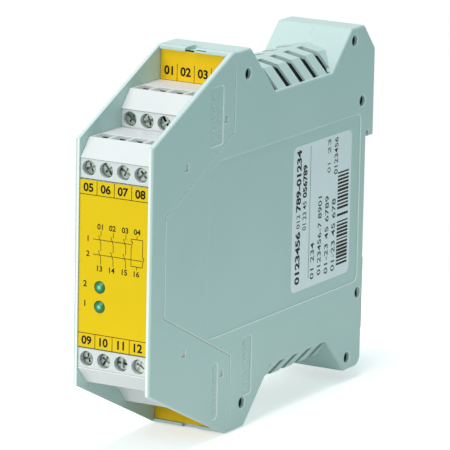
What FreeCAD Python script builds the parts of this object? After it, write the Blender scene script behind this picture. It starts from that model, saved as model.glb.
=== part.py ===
import FreeCAD
import Part
import math
import os

from FreeCAD import Vector

# A 22.5 mm safety relay that clips onto a 35 mm DIN rail.
# X runs across the module, +Y towards the rail, +Z up. The origin is the centre
# of the rail seat on the back of the housing, so the front rim is at y = -depth.

# Housing
width = 22.5                # across the module
height = 99.0               # over the top and bottom flats
depth = 110.5               # front rim to rail seat
side_wall = 1.25
wall = 1.3
edge_round = 0.7            # along both side outlines
rim_rise = 7.2              # front rim ends this far outside the front screw axes
slope_depth = 38.5          # front rim to the end of the terminal slopes
corner_round = 2.4          # where the slopes meet the top and bottom flats
crest_round = 1.4           # corners at the ends of the flats and humps
heel_round = 3.0            # bottom corner at the back
vee_front_depth = 61.0      # front rim to the vent recesses' flat floors
vee_back = -19.5            # their rear end
vee_drop = 13.2             # recess floors below the top flat
hump_drop = 3.0             # rear humps below the top flat
back_wall = 1.6

# Rail hook at the top of the back
hook_reach = 4.0            # behind the rail seat
hook_bevel = 7.0            # height of the bevel above the hook
hook_bevel_run = 6.2
rail_half = 17.5            # half of the 35 mm rail
rail_grip = 1.6             # how far hook and foot reach behind the rail's lips
rail_gap = 0.2              # over the rail's edge
lip_slot = 1.3              # takes the rail's 1 mm lip
lip_relief = 0.2            # seat set back behind both lips of the rail

# Vents
vent_crest_half = 6.2       # ridge between the vent's slope and its flatter roof
vent_crest_rise = 4.9       # above the recess floor
vent_spine_rise = 6.1
vent_foot_inset = 0.65      # from the side face to the foot of the vent
vent_skin = 1.0             # measured straight down
vent_slot_pitch = 7.2
vent_slot_width = 2.9
vent_slot_start = 0.6       # middle of the first slot, behind the recess's front end
vent_slot_overrun = 7.0     # slots may run this far into the recess's rear slope
spine_half = 1.3

# Joint line between front cover and rear housing
seam_rise = 4.9             # its outer ends, outside the front screw axes
nose_depth = 6.7            # how near the rear housing's side walls come to the front
nose_drop = 11.4            # its inner ends, inside the front screw axes
seam_gap = 0.25

# Moulded marks on the side walls
dimple_radius = 1.5
dimple_depth = 0.95
dimple_drop = 6.5           # front and rear pairs, below the top flat
seat_dimple_drop = 23.4
front_dimple_depth = 46.4   # front rim to the front pair
rear_dimple_inset = 7.7     # in front of the rail seat
seat_dimple_inset = 2.6
field_depth = 0.35          # shallow field for the rating label
field_front = 27.9
field_inset = 3.2           # its rear end, in front of the rail seat
field_half = 22.7
field_round = 2.0
field_chamfer = 2.6
mark_depth = 0.35
mark_round = 1.0
upper_mark = (27.6, 34.2, 7.5, 22.5)    # from and to, behind the front rim, then inside a flat
lower_mark = (45.6, 51.0, 8.3, 23.6)
slim_mark = (31.0, 33.7, 5.2, 19.9)

# Front label, marker strips and rating label
label_drop = 3.0            # its ends, inside the front screw axes
label_thickness = 0.5
label_inset = 0.4           # behind the front rim
label_side_gap = 0.1
front_wall = 1.4
label_gap = 0.1             # between a label's edge and the pieces around it
marker_thickness = 0.4
marker_wall = 1.2
lip_height = 1.0            # lip over the marker strip
lip_reach = 0.5             # in front of the marker's face
rating_inset = 7.7          # its rear edge, in front of the rail seat
rating_length = 31.3
rating_half = 19.4
rating_thickness = 0.15
rating_round = 2.0

# Latch notches in the cover's lips
upper_notch = (-2.5, 0.2)
upper_notch_length = 5.0     # runs back into the rear housing
upper_slit = 3.7
slit_height = 0.25
lower_notch = (-1.4, 3.1)
notch_depth = 1.3

# Terminal blocks: four poles each, two blocks in steps above and two below the label
poles = 4
pitch = 5.0
face_inset = 0.55           # screw face of the front block, behind the front rim
row_setback = 19.15         # rear block behind front block
row_rise = 9.2
screw_drop = 25.2           # front screw axes below the top flat
block_side_gap = 0.05
block_depth = 18.7
face_half = 2.6             # screw face above and below the screw axis
brow = 0.2                  # the bevel stands proud of the screw face
bevel_rise = 4.4
bevel_run = 3.75
tuck_back = 2.2             # the block's foot tucks in behind the label
tuck_drop = 1.15
nub_back = 16.9             # rear end of its window, behind the screw face
nub_drop = 0.55
nub_window_length = 1.6
nub_window_height = 1.8
nub_length = 0.8            # the nub fills the rear part of its window
nub_gap = 0.2
nub_reach = 0.85

# Wire entries and clamps, measured back from the screw face and up from the screw axis
mouth_width = 4.2
mouth_length = 4.8
mouth_ledge = 1.0           # from the bevel to the wire entries
throat_width = 2.6
throat_length = 2.8
funnel_depth = 2.5
head_radius = 1.85
head_gap = 0.1              # round the screw head
head_inset = 1.3
head_height = 1.4
driver_slot_width = 0.65
driver_slot_depth = 0.7
thread_radius = 1.25        # M2.5 clamp screw
thread_pitch = 0.45
thread_gap = 0.05
screw_end = 6.3
chamber_start = 2.8
chamber_half = 2.0
chamber_up = 2.3
cage_half = 1.8             # half the width of the clamp cage
cage_wall = 0.5
cage_front_wall = 1.1
cage_back_wall = 0.7
cage_long_half = 1.95
cage_stop_gap = 0.19        # left above the cage when the screw is tight
wire_space = 2.9            # open gap between contact bar and cage
bar_half = 1.05
bar_thickness = 0.65
bar_gap = 0.1               # from the screw's tip
leg_gap = 0.2               # between the cage and the contact's leg
tail_length = 0.8           # solder tail behind the terminal board
clamp_turns = 4.8
slot_angles = {
    "upper_rear": (-35, 20, -55, 30),
    "upper_front": (22, -52, -26, 42),
    "lower_front": (14, 58, -4, 62),
    "lower_rear": (-20, 40, 75, -48),
}

# Boards and parts inside
board_thickness = 1.6
board_edge_gap = 0.3
terminal_board_gap = 2.8    # behind the rear blocks
board_end_gap = 2.7         # terminal board's ends to the housing
rib_width = 0.8
rib_depth = 1.2
rib_half = 30.0
main_board_back_gap = 4.0   # to the wall in front of the foot
main_board_end_gap = 1.5
board_post_length = 1.4
board_post_radius = 2.0
board_post_spread = 24.0
post_half = 22.0
board_join_gap = 0.4        # solder tails to main board
tongue_half = 6.0
tongue_thickness = 1.0
tongue_length = 4.0
tongue_gap = 0.3
header_pins = 10
header_spacing = 2.0
header_height = 2.5
header_pin = 0.5
relay_length = 30.0
relay_breadth = 28.0
relay_height = 12.5
relay_edge = 0.8
relay_gap = 2.0
relay_back_gap = 1.5
relay_foot = 0.5
capacitor_radius = 5.0
capacitor_height = 15.0
capacitor_inset = 13.5       # its axis, inside the main board's end
fuse_length = 8.5
fuse_breadth = 4.0
fuse_height = 7.0
fuse_rise = 6.0
chip_length = 9.0
chip_breadth = 6.4
chip_height = 1.7
chip_spacing = 10.5
chip_count = 3
front_parts_gap = 3.0       # from the board's front edge to the small parts

# Indicator lights
light_x = -3.85
light_rises = (-5.5, -10.5)
lens_radius = 1.5
lens_gap = 0.1
lens_dome = 0.35
collar_radius = 2.2
collar_length = 0.9
guide_radius = 1.1
guide_end_gap = 0.3
led_size = 1.8
led_height = 0.7

# Foot that locks under the rail, and its spring
foot_travel = 4.0
channel_depth = 3.9
foot_gap = 0.3
foot_lip_width = 0.75       # housing lips that hold the foot's wings
foot_lip_depth = 1.5
foot_inset = 0.8            # foot's end above the heel of the housing
foot_block_bottom = 38.6
foot_nose_bevel = 2.2
foot_bevel = 1.4
eye_half = 3.0
eye_height = 2.4
eye_rise = 3.0
spring_radius = 1.25
spring_wire = 0.2           # radius of the six-sided wire
spring_turns = 6
spring_pocket_half = 2.1
spring_pocket_depth = 3.2
spring_seat = -33.0         # top of the housing's peg
spring_squeezed = 7.0       # length with the foot fully down
peg_half = 1.3
peg_height = 1.4
peg_clear = 0.6

half_width = width / 2
half_height = height / 2
inner_half = half_width - side_wall
hump_half = half_height - hump_drop
vee_half = half_height - vee_drop
screw_half = half_height - screw_drop
rim_half = screw_half + rim_rise
seam_half = screw_half + seam_rise
nose_half = screw_half - nose_drop
label_half = screw_half - label_drop
slope = (half_height - rim_half) / slope_depth
vee_front = vee_front_depth - depth
vee_length = vee_back - vee_front
vent_slot_count = 1 + int((vee_length + vent_slot_overrun - vent_slot_start) / vent_slot_pitch)
label_wall_face = label_inset + label_thickness
marker_inset = face_inset + row_setback + block_depth
marker_wall_face = marker_inset + marker_thickness
seam_depth = marker_wall_face + marker_wall
terminal_board_depth = marker_inset + terminal_board_gap
bar_start = screw_end + bar_gap
cage_start = chamber_start + cage_stop_gap + clamp_turns * thread_pitch
block_top = face_half + bevel_rise
leg_top = cage_long_half + leg_gap
chamber_down = leg_top + bar_thickness + leg_gap
board_left = -inner_half + board_post_length
board_face = board_left + board_thickness
main_board_front = terminal_board_depth + board_thickness + tail_length + board_join_gap - depth
main_board_back = -channel_depth - back_wall - main_board_back_gap
main_board_half = vee_half - wall - main_board_end_gap
terminal_board_half = half_height - wall - board_end_gap
foot_top = rail_half + rail_gap
foot_bottom = hump_half - foot_inset
spring_top = spring_seat + spring_squeezed + foot_travel
wing_half = inner_half - foot_gap
foot_half = inner_half - foot_lip_width - foot_gap


def back(distance):
    """Y of a place measured back from the front rim."""
    return distance - depth


def box(x_low, x_high, y_low, y_high, z_low, z_high):
    return Part.makeBox(x_high - x_low, y_high - y_low, z_high - z_low,
                        Vector(x_low, y_low, z_low))


def rounded_wire(corners):
    """Closed wire through (y, z, radius) corners."""
    points = [Vector(0, y, z) for y, z, radius in corners]
    edges = []
    ends = []
    for index, (y, z, radius) in enumerate(corners):
        here = points[index]
        before = (points[index - 1] - here).normalize()
        after = (points[(index + 1) % len(points)] - here).normalize()
        half_angle = before.getAngle(after) / 2
        if radius == 0:
            ends.append((here, here))
            continue
        reach = radius / math.tan(half_angle)
        start = here + before * reach
        stop = here + after * reach
        middle = here + (before + after).normalize() * (radius / math.sin(half_angle) - radius)
        edges.append(Part.Arc(start, middle, stop).toShape())
        ends.append((start, stop))
    for index, (start, stop) in enumerate(ends):
        edges.append(Part.LineSegment(ends[index - 1][1], start).toShape())
    return Part.Wire(Part.__sortEdges__(edges))


def prism(corners, x_low, x_high):
    """Solid across X with the given side profile."""
    face = Part.Face(rounded_wire(corners))
    face.translate(Vector(x_low, 0, 0))
    return face.extrude(Vector(x_high - x_low, 0, 0))


def plain(points):
    return [(y, z, 0) for y, z in points]


def flipped(shape):
    return shape.mirror(Vector(0, 0, 0), Vector(0, 0, 1))


def rod(radius, x, z, y_low, y_high):
    """Cylinder along Y."""
    return Part.makeCylinder(radius, y_high - y_low, Vector(x, y_low, z), Vector(0, 1, 0))


def rectangle(x, y, half_x, half_y, z):
    return Part.makePolygon([
        Vector(x - half_x, y - half_y, z), Vector(x + half_x, y - half_y, z),
        Vector(x + half_x, y + half_y, z), Vector(x - half_x, y + half_y, z),
        Vector(x - half_x, y - half_y, z)])


def outer_body():
    """The whole housing as one closed form, with its edges rounded."""
    top = half_height
    upper = [
        (-depth, rim_half, 0),
        (back(slope_depth), top, corner_round),
        (vee_front - (top - vee_half), top, crest_round),
        (vee_front, vee_half, 0),
        (vee_back, vee_half, 0),
        (vee_back + hump_half - vee_half, hump_half, crest_round),
    ]
    hook_tip = rail_half - rail_grip
    rear = [
        (hook_reach - hook_bevel_run, hump_half, crest_round),
        (hook_reach, hump_half - hook_bevel, crest_round),
        (hook_reach, hook_tip, 0),
        (0, hook_tip, 0),
        (0, -hump_half, heel_round),
    ]
    lower = [(y, -z, radius) for y, z, radius in reversed(upper)]
    body = prism(upper + rear + lower, -half_width, half_width)
    side_edges = [edge for edge in body.Edges
                  if all(abs(vertex.X) > half_width - edge_round for vertex in edge.Vertexes)
                  and edge.BoundBox.XLength < edge_round]
    return body.makeFillet(edge_round, side_edges)


def cavity():
    """Inside of the rear housing, open at the front."""
    shift = wall * math.tan(math.pi / 8)
    top = half_height - wall
    floor = vee_half - wall
    hump = hump_half - wall
    hump_start = vee_back + hump_half - vee_half + shift
    upper = [
        (back(0), top),
        (vee_front - (half_height - vee_half) - shift, top),
        (vee_front - shift, floor),
        (vee_back + shift, floor),
        (hump_start, hump),
    ]
    pocket_floor = rail_half + rail_gap + wall
    channel_wall = -channel_depth - back_wall
    channel_roof = -foot_top + foot_gap + wall
    rear = [
        (hook_reach - hook_bevel_run - shift, hump),
        (hook_reach - wall, hump_half - hook_bevel - shift),
        (hook_reach - wall, pocket_floor),
        (-back_wall, pocket_floor),
        (-back_wall, channel_roof),
        (channel_wall, channel_roof),
        (channel_wall, -hump),
    ]
    lower = [(y, -z) for y, z in reversed(upper)]
    return prism(plain(upper + rear + lower), -inner_half, inner_half)


def vent_roof(drop, half_span, y_low, y_high):
    """Arched vent over the upper recess, as a prism along Y."""
    foot = half_width - vent_foot_inset
    low = vee_half - wall - drop
    right = [
        (foot, vee_half - drop),
        (vent_crest_half, vee_half + vent_crest_rise - drop),
    ]
    points = [(foot, low)] + right + [(0, vee_half + vent_spine_rise - drop)]
    points += [(-x, z) for x, z in reversed(right)] + [(-foot, low)]
    wire = Part.makePolygon([Vector(x, y_low, z) for x, z in points + points[:1]])
    roof = Part.Face(wire).extrude(Vector(0, y_high - y_low, 0))
    return roof.common(box(-half_span, half_span, y_low, y_high, 0, half_height))


def vent_slots():
    """Cutters for the slots each side of the vent's spine."""
    slots = []
    for index in range(vent_slot_count):
        middle = vee_front + vent_slot_start + index * vent_slot_pitch
        for low, high in ((spine_half, half_width), (-half_width, -spine_half)):
            slots.append(box(low, high, middle - vent_slot_width / 2, middle + vent_slot_width / 2,
                             vee_half - wall, vee_half + vent_spine_rise + wall))
    return slots


def cover_zone(shift):
    """Everything in front of the joint line, moved back by shift."""
    far = half_height + wall
    upper = [
        (back(-wall), far),
        (back(seam_depth) + shift, far),
        (back(seam_depth) + shift, seam_half),
        (back(nose_depth) + shift, nose_half),
    ]
    lower = [(y, -z) for y, z in reversed(upper)]
    return prism(plain(upper + lower), -half_width - wall, half_width + wall)


def mark_pocket(mark, side):
    """Shallow mark on the right wall, near the top (side 1) or the bottom (side -1)."""
    front, rear, outer, inner = mark
    low, high = sorted((side * (half_height - outer), side * (half_height - inner)))
    corners = [(back(y), z, mark_round) for y, z in (
        (front, low), (rear, low), (rear, high), (front, high))]
    return prism(corners, half_width - mark_depth, half_width + wall)


def label_field():
    """Recess for the rating label, with one corner cut back along the joint line."""
    corners = [
        (back(field_front), -field_half, field_round),
        (-field_inset, -field_half, field_round),
        (-field_inset, field_half, field_round),
        (back(field_front + 2 * field_chamfer), field_half, 0),
        (back(field_front), field_half - field_chamfer, 0),
    ]
    return prism(corners, half_width - field_depth, half_width + wall)


def dimples():
    cutters = []
    places = [(back(front_dimple_depth), dimple_drop), (-rear_dimple_inset, dimple_drop),
              (-seat_dimple_inset, seat_dimple_drop)]
    for y, drop in places:
        for z in (half_height - drop, drop - half_height):
            for start in (half_width - dimple_depth, -half_width - wall):
                cutters.append(Part.makeCylinder(dimple_radius, dimple_depth + wall,
                                                 Vector(start, y, z), Vector(1, 0, 0)))
    return cutters


def rear_housing():
    """Tub with hook, vents and the channel that the foot slides in."""
    vent_front = vee_front - vent_spine_rise - wall
    vent_back = vee_back + vent_spine_rise + wall
    slots = vent_slots()
    roof = vent_roof(0, half_width, vent_front, vent_back).cut(slots)
    openings = vent_roof(0, half_width, vee_front, vee_back).common(slots)
    hollow = vent_roof(vent_skin, inner_half, vee_front, vee_back)
    tub = outer_body().fuse([roof, flipped(roof)])
    tub = tub.cut([cavity(), hollow, flipped(hollow), cover_zone(seam_gap / 2)])
    tub = tub.cut([openings, flipped(openings)] + dimples())
    tub = tub.cut([label_field(), mark_pocket(lower_mark, -1), upper_latch_notch()])
    lip_groove = box(-half_width, half_width, -lip_relief, lip_slot, rail_half - rail_grip, foot_top)
    lower_relief = box(-half_width, half_width, -lip_relief, wall, -foot_top, rail_grip - rail_half)
    channel_top = -foot_top + foot_gap
    channel = box(-inner_half, inner_half, -channel_depth, wall, -half_height, channel_top)
    tub = tub.cut([lip_groove, lower_relief, channel])
    added = [box(-peg_half, peg_half, -channel_depth - wall, -channel_depth + spring_pocket_depth - foot_gap,
                 spring_seat - peg_height, spring_seat)]
    lip_low = -hump_half + heel_round
    for side in (1, -1):
        near, far = sorted((side * (inner_half - foot_lip_width), side * (inner_half + side_wall / 2)))
        added.append(box(near, far, -foot_lip_depth, 0, lip_low, channel_top))
        near, far = sorted((side * (inner_half - rib_width), side * (inner_half + side_wall / 2)))
        rib_front = back(terminal_board_depth + board_thickness)
        added.append(box(near, far, rib_front, rib_front + rib_depth, -rib_half, rib_half))
    for y in board_post_places():
        for sign in (1, -1):
            added.append(Part.makeCylinder(board_post_radius, board_post_length + side_wall / 2,
                                           Vector(-inner_half - side_wall / 2, y, sign * post_half),
                                           Vector(1, 0, 0)))
    return tub.fuse(added).removeSplitter()


def board_post_places():
    middle = (main_board_front + main_board_back) / 2
    return middle - board_post_spread, middle + board_post_spread


def upper_latch_notch():
    """Notch for a tool, in the cover's upper lip and the housing's edge behind it."""
    low, high = upper_notch
    front = back(marker_inset - lip_reach)
    return box(low, high, front - wall, front + upper_notch_length,
               half_height - lip_height, half_height + wall)


def front_cover():
    """Side walls, label wall and marker walls, moulded in one."""
    body = outer_body()
    sides = body.common(cover_zone(-seam_gap / 2))
    sides = sides.cut(box(-inner_half, inner_half, back(-wall), 0, -half_height - wall, half_height + wall))
    label_wall = box(-inner_half, inner_half, back(label_wall_face), back(label_wall_face + front_wall),
                     -label_half - label_gap, label_half + label_gap)
    foot = screw_half - face_half - tuck_drop
    web = box(-inner_half, inner_half, back(label_wall_face), back(nose_depth),
              foot - label_gap - wall, foot - label_gap)
    marker_wall_back = back(seam_depth) - seam_gap / 2
    row_top = screw_half + row_rise + block_top
    marker = box(-inner_half, inner_half, back(marker_wall_face), marker_wall_back,
                 row_top + label_gap, half_height - lip_height)
    lip = box(-inner_half, inner_half, back(marker_inset - lip_reach), marker_wall_back,
              half_height - lip_height, half_height).common(body)
    tongue_top = half_height - wall - tongue_gap
    tongue = box(-tongue_half, tongue_half, back(marker_wall_face), marker_wall_back + tongue_length,
                 tongue_top - tongue_thickness, tongue_top)
    upper = [web, marker, lip, tongue]
    cover = sides.fuse([label_wall] + upper + [flipped(piece) for piece in upper])
    cutters = [mark_pocket(upper_mark, 1), mark_pocket(slim_mark, -1)]
    for rise in light_rises:
        cutters.append(rod(lens_radius + lens_gap, light_x, rise, back(0), back(nose_depth)))
    for _, face_y, screw_z in block_rows():
        for low, high in ((inner_half - wall, half_width + wall), (-half_width - wall, -inner_half + wall)):
            cutters.append(nub(low, high, face_y + nub_back, screw_z, nub_window_length, nub_window_height))
    cutters.append(upper_latch_notch())
    lip_front = back(marker_inset - lip_reach) - wall
    cutters.append(box(upper_notch[1], upper_slit, lip_front, lip_front + wall + notch_depth,
                       half_height - lip_height / 2, half_height - lip_height / 2 + slit_height))
    low, high = lower_notch
    cutters.append(box(low, high, lip_front, lip_front + wall + notch_depth,
                       -half_height - wall, lip_height - half_height))
    return cover.cut(cutters).removeSplitter()


def block_rows():
    """Name, Y of the screw face and Z of the screw axes, for each terminal block."""
    front_face = back(face_inset)
    rear_z = screw_half + row_rise
    return [
        ("upper_rear", front_face + row_setback, rear_z),
        ("upper_front", front_face, screw_half),
        ("lower_front", front_face, -screw_half),
        ("lower_rear", front_face + row_setback, -rear_z),
    ]


def pole_places():
    return [(index - (poles - 1) / 2) * pitch for index in range(poles)]


def nub(x_low, x_high, rear_y, screw_z, length, height):
    """Latch nub on a block's side, or the window for it."""
    middle_z = screw_z - math.copysign(nub_drop, screw_z)
    return box(x_low, x_high, rear_y - length, rear_y, middle_z - height / 2, middle_z + height / 2)


def terminal_block():
    """Upper front block with its screw face at y = 0 and its screw axes at z = 0."""
    half = inner_half - block_side_gap
    rear = block_depth
    corners = plain([
        (0, -face_half), (0, face_half - brow), (-brow, face_half), (bevel_run, block_top),
        (rear, block_top), (rear, -face_half - tuck_drop), (tuck_back, -face_half - tuck_drop),
        (tuck_back, -face_half)])
    block = prism(corners, -half, half)
    wire_centre = bar_start + bar_thickness + wire_space / 2
    mouth_centre = bevel_run + mouth_ledge + mouth_length / 2
    cutters = []
    for x in pole_places():
        cutters.append(rod(head_radius + head_gap, x, 0, -wall, chamber_start))
        cutters.append(box(x - chamber_half, x + chamber_half, chamber_start, rear,
                           -chamber_down, chamber_up))
        throat_top = block_top - funnel_depth
        cutters.append(box(x - throat_width / 2, x + throat_width / 2, wire_centre - throat_length / 2,
                           wire_centre + throat_length / 2, chamber_up, throat_top))
        cutters.append(Part.makeLoft([
            rectangle(x, wire_centre, throat_width / 2, throat_length / 2, throat_top),
            rectangle(x, mouth_centre, mouth_width / 2, mouth_length / 2, block_top)], True))
    nubs = []
    for side in (1, -1):
        low, high = sorted((side * (half - block_side_gap), side * (inner_half + nub_reach)))
        nubs.append(nub(low, high, nub_back - nub_gap, 0, nub_length, nub_window_height - nub_gap * 2))
    return block.cut(cutters).fuse(nubs).removeSplitter()


def clamp_screw(angle):
    """Slotted screw along Y, measured from the block's screw face."""
    head = rod(head_radius, 0, 0, head_inset, head_inset + head_height)
    shank = rod(thread_radius, 0, 0, head_inset + head_height, screw_end)
    slot = box(-head_radius, head_radius, head_inset, head_inset + driver_slot_depth,
               -driver_slot_width / 2, driver_slot_width / 2)
    slot.rotate(Vector(0, 0, 0), Vector(0, -1, 0), angle)
    return head.fuse(shank).cut(slot).removeSplitter()


def clamp_cage():
    """Ring that rises along the screw and pulls the wire against the contact bar."""
    cage_end = bar_start + bar_thickness + wire_space + cage_back_wall
    cage = box(-cage_half, cage_half, cage_start, cage_end, -cage_long_half, cage_long_half)
    inside = cage_half - cage_wall
    window = box(-inside, inside, cage_start + cage_front_wall, cage_end - cage_back_wall,
                 -cage_long_half, cage_long_half)
    thread = rod(thread_radius + thread_gap, 0, 0, cage_start, cage_start + cage_front_wall)
    return cage.cut([window, thread])


def contact_bar(face_y):
    """Bent bar from the clamp back to the terminal board."""
    rear = back(terminal_board_depth) + board_thickness + tail_length - face_y
    flange = box(-bar_half, bar_half, bar_start, bar_start + bar_thickness,
                 -leg_top - bar_thickness, cage_long_half)
    leg = box(-bar_half, bar_half, bar_start, rear, -leg_top - bar_thickness, -leg_top)
    return flange.fuse(leg).removeSplitter()


def placed(shape, x, face_y, screw_z):
    """Copy of a clamp piece at its pole, turned over for the lower blocks."""
    copy = shape.copy() if screw_z > 0 else flipped(shape)
    copy.translate(Vector(x, face_y, screw_z))
    return copy


def clamp_nodes():
    """Blocks, contacts, screws and cages, numbered from the top left."""
    nodes = {}
    number = 0
    block = terminal_block()
    cage = clamp_cage()
    for name, face_y, screw_z in block_rows():
        nodes[name + "_block"] = placed(block, 0, face_y, screw_z)
        bar = contact_bar(face_y)
        bars = []
        for x, angle in zip(pole_places(), slot_angles[name]):
            number += 1
            screw = clamp_screw(angle)
            screw.translate(Vector(x, face_y, screw_z))
            nodes["clamp_screw_%02d" % number] = screw
            nodes["clamp_cage_%02d" % number] = placed(cage, x, face_y, screw_z)
            bars.append(placed(bar, x, face_y, screw_z))
        nodes[name + "_contacts"] = Part.makeCompound(bars)
    return nodes


def front_label():
    half = inner_half - label_side_gap
    label = box(-half, half, back(label_inset), back(label_wall_face), -label_half, label_half)
    holes = [rod(lens_radius + lens_gap, light_x, rise, back(0), back(label_wall_face))
             for rise in light_rises]
    return label.cut(holes)


def marker_strip():
    half = inner_half - label_side_gap
    low = screw_half + row_rise + block_top + label_gap
    return box(-half, half, back(marker_inset), back(marker_wall_face),
               low, half_height - lip_height - label_gap)


def rating_label():
    face = half_width - field_depth
    rear = -rating_inset
    front = rear - rating_length
    corners = [(y, z, rating_round) for y, z in (
        (front, -rating_half), (rear, -rating_half), (rear, rating_half), (front, rating_half))]
    return prism(corners, face, face + rating_thickness)


def light_guide(rise):
    """Domed lens in the label with its guide back to the board."""
    dome_radius = (lens_radius ** 2 + lens_dome ** 2) / (2 * lens_dome)
    tip = back(label_inset - lens_dome)
    ball = Part.makeSphere(dome_radius, Vector(light_x, tip + dome_radius, rise))
    lens_end = back(label_wall_face + front_wall)
    lens = rod(lens_radius, light_x, rise, tip, lens_end).common(ball.fuse(
        rod(lens_radius, light_x, rise, back(label_inset), lens_end)))
    collar = rod(collar_radius, light_x, rise, lens_end, lens_end + collar_length)
    guide = rod(guide_radius, light_x, rise, lens_end,
                back(terminal_board_depth - led_height - guide_end_gap))
    return lens.fuse([collar, guide]).removeSplitter()


def status_leds():
    face = back(terminal_board_depth)
    half = led_size / 2
    return Part.makeCompound([
        box(light_x - half, light_x + half, face - led_height, face, rise - half, rise + half)
        for rise in light_rises])


def terminal_board():
    """Board across the housing that every contact is soldered into."""
    half = inner_half - board_edge_gap
    face = back(terminal_board_depth)
    board = box(-half, half, face, face + board_thickness, -terminal_board_half, terminal_board_half)
    holes = []
    for _, _, screw_z in block_rows():
        sign = math.copysign(1, screw_z)
        z_pair = (screw_z - sign * leg_top, screw_z - sign * (leg_top + bar_thickness))
        for x in pole_places():
            holes.append(box(x - bar_half, x + bar_half, face, face + board_thickness,
                             min(z_pair), max(z_pair)))
    return board.cut(holes)


def main_board():
    return box(board_left, board_face, main_board_front, main_board_back,
               -main_board_half, main_board_half)


def board_header():
    """Angled pin strip that joins the two boards."""
    half = header_pins * header_spacing / 2
    front = back(terminal_board_depth + board_thickness)
    body = box(board_face, board_face + header_height, main_board_front,
               main_board_front + header_height, -half, half)
    pins = []
    for index in range(header_pins):
        z = (index - (header_pins - 1) / 2) * header_spacing
        x = board_face + header_height / 2
        pins.append(box(x - header_pin / 2, x + header_pin / 2, front, front + header_height,
                        z - header_pin / 2, z + header_pin / 2))
    return body.fuse(pins).removeSplitter()


def relay(sign):
    """Sealed relay on the main board, with its feet on the copper side of the case."""
    rear = main_board_back - relay_back_gap
    low, high = sorted((sign * relay_gap / 2, sign * (relay_gap / 2 + relay_breadth)))
    case = box(board_face + relay_foot, board_face + relay_foot + relay_height,
               rear - relay_length, rear, low, high)
    top_edges = [edge for edge in case.Edges if edge.BoundBox.XMax > board_face + 2 * relay_foot]
    case = case.makeChamfer(relay_edge, top_edges)
    plinth = box(board_face, board_face + relay_foot, rear - relay_length + relay_edge,
                 rear - relay_edge, low + relay_edge, high - relay_edge)
    return case.fuse(plinth).removeSplitter()


def capacitor():
    y = main_board_front + front_parts_gap + capacitor_radius
    return Part.makeCylinder(capacitor_radius, capacitor_height,
                             Vector(board_face, y, main_board_half - capacitor_inset), Vector(1, 0, 0))


def fuse():
    front = main_board_front + front_parts_gap
    return box(board_face, board_face + fuse_height, front, front + fuse_length,
               fuse_rise, fuse_rise + fuse_breadth)


def chips():
    front = main_board_front + front_parts_gap
    return Part.makeCompound([
        box(board_face, board_face + chip_height, front, front + chip_breadth,
            -chip_length - index * chip_spacing, -index * chip_spacing)
        for index in range(chip_count)])


def foot_latch():
    """Sprung foot that hooks behind the rail's lower lip."""
    nose_tip = -rail_half + rail_grip
    block = prism(plain([
        (-channel_depth + foot_gap, -foot_top), (lip_slot, -foot_top), (lip_slot, nose_tip),
        (hook_reach - foot_bevel, nose_tip), (hook_reach, nose_tip - foot_nose_bevel),
        (hook_reach, -foot_block_bottom + foot_bevel), (hook_reach - foot_bevel, -foot_block_bottom),
        (-foot_gap, -foot_block_bottom), (-foot_gap, -foot_bottom),
        (-channel_depth + foot_gap, -foot_bottom)]), -foot_half, foot_half)
    wings = box(-wing_half, wing_half, -channel_depth + foot_gap, -foot_lip_depth - foot_gap,
                -foot_bottom, -foot_top)
    pocket_low = spring_seat - peg_height - peg_clear
    pocket = box(-spring_pocket_half, spring_pocket_half, -channel_depth,
                 -channel_depth + spring_pocket_depth, pocket_low, spring_top)
    eye = box(-eye_half, eye_half, -channel_depth, hook_reach,
              -foot_bottom + eye_rise - eye_height / 2, -foot_bottom + eye_rise + eye_height / 2)
    return block.fuse(wings).cut([pocket, eye]).removeSplitter()


def foot_spring():
    """Compression spring between the housing's peg and the foot."""
    length = spring_top - spring_seat - 2 * spring_wire
    helix = Part.makeHelix(length / spring_turns, length, spring_radius)
    corners = [Vector(spring_radius + spring_wire * math.cos(turn * math.pi / 3), 0,
                      spring_wire * math.sin(turn * math.pi / 3)) for turn in range(7)]
    start = Part.makePolygon(corners)
    coil = Part.Wire(helix).makePipeShell([start], True, True)
    middle = -channel_depth + foot_gap / 2 + spring_pocket_depth / 2
    coil.translate(Vector(0, middle, spring_seat + spring_wire))
    return coil


nodes = {
    "rear_housing": rear_housing(),
    "front_cover": front_cover(),
    "front_label": front_label(),
    "upper_marker": marker_strip(),
    "lower_marker": flipped(marker_strip()),
    "rating_label": rating_label(),
    "upper_light_guide": light_guide(light_rises[0]),
    "lower_light_guide": light_guide(light_rises[1]),
    "status_leds": status_leds(),
    "terminal_board": terminal_board(),
    "main_board": main_board(),
    "board_header": board_header(),
    "upper_relay": relay(1),
    "lower_relay": relay(-1),
    "supply_capacitor": capacitor(),
    "fuse": fuse(),
    "logic_chips": chips(),
    "foot_latch": foot_latch(),
    "foot_spring": foot_spring(),
}
nodes.update(clamp_nodes())

os.makedirs("parts", exist_ok=True)
for name, shape in nodes.items():
    shape.exportStep("parts/%s.step" % name)
print("pieces: %d" % len(nodes))
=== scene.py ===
import math

import bmesh
import bpy
from mathutils import Matrix, Vector


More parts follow.
